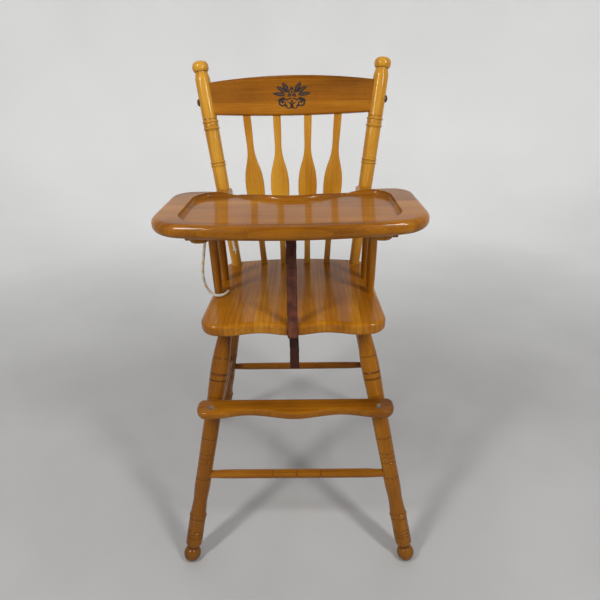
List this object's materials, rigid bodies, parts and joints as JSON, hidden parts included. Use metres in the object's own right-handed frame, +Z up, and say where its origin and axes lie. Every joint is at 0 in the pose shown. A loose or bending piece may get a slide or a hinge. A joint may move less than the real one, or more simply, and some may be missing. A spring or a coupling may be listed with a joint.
{
  "type": "baby high chair",
  "caption": "Wooden high chair with turned splayed legs, slatted back, footrest, leather crotch strap and a recessed tray that slides along the arms.",
  "frame": {"origin": "on the floor, in the middle of the four feet", "axes": "+Z up, the sitter faces -Y, +X to the picture's right"},
  "size_m": [0.5174, 0.5077, 1.006],
  "materials": {
    "maple": "honey maple, glossy varnish",
    "tray_maple": "honey maple, glossy varnish",
    "cap_brown": "dark brown, glossy",
    "screw_steel": "bright zinc",
    "bolt_brass": "worn brass",
    "strap_leather": "red-brown strap leather",
    "cord_white": "braided cotton cord, white with yellow flecks"
  },
  "bodies": {
    "chair": {"seat": "maple", "leg_front_left": "maple", "leg_front_right": "maple", "leg_rear_left": "maple", "leg_rear_right": "maple", "stretcher_front": "maple", "stretcher_rear": "maple", "stretcher_side_left": "maple", "stretcher_side_right": "maple", "back_post_left": "maple", "back_post_right": "maple", "crest_rail": "maple", "crest_screws": "screw_steel", "crest_caps": "cap_brown", "slat_1": "maple", "slat_2": "maple", "slat_3": "maple", "slat_4": "maple", "arm_left": "maple", "arm_right": "maple", "arm_spindle_front_left": "maple", "arm_spindle_front_right": "maple", "arm_spindle_mid_left": "maple", "arm_spindle_mid_right": "maple", "arm_screws": "screw_steel", "arm_caps": "cap_brown", "footrest": "maple", "footrest_screws": "screw_steel", "crotch_strap": "strap_leather", "crotch_strap_tail": "strap_leather", "strap_screws": "screw_steel", "tie_cord": "cord_white", "tie_cord_knot": "cord_white", "tie_cord_hitches": "cord_white"},
    "tray": {"tray_board": "tray_maple", "tray_runner_left": "tray_maple", "tray_runner_right": "tray_maple", "runner_screws": "screw_steel", "crotch_strap_tab": "strap_leather", "tray_strap_screw": "screw_steel", "bolt_plate_left": "bolt_brass", "bolt_plate_right": "bolt_brass"},
    "bolt_left": {"tray_bolt_left": "bolt_brass"},
    "bolt_right": {"tray_bolt_right": "bolt_brass"}
  },
  "joints": [
    {"name": "tray_slide", "type": "slide", "parent": "chair", "child": "tray", "axis": [0, -1, 0], "range_m": [0, 0.11]},
    {"name": "bolt_left_slide", "type": "slide", "parent": "tray", "child": "bolt_left", "axis": [1, 0, 0], "range_m": [0, 0.008]},
    {"name": "bolt_right_slide", "type": "slide", "parent": "tray", "child": "bolt_right", "axis": [-1, 0, 0], "range_m": [0, 0.008]}
  ]
}
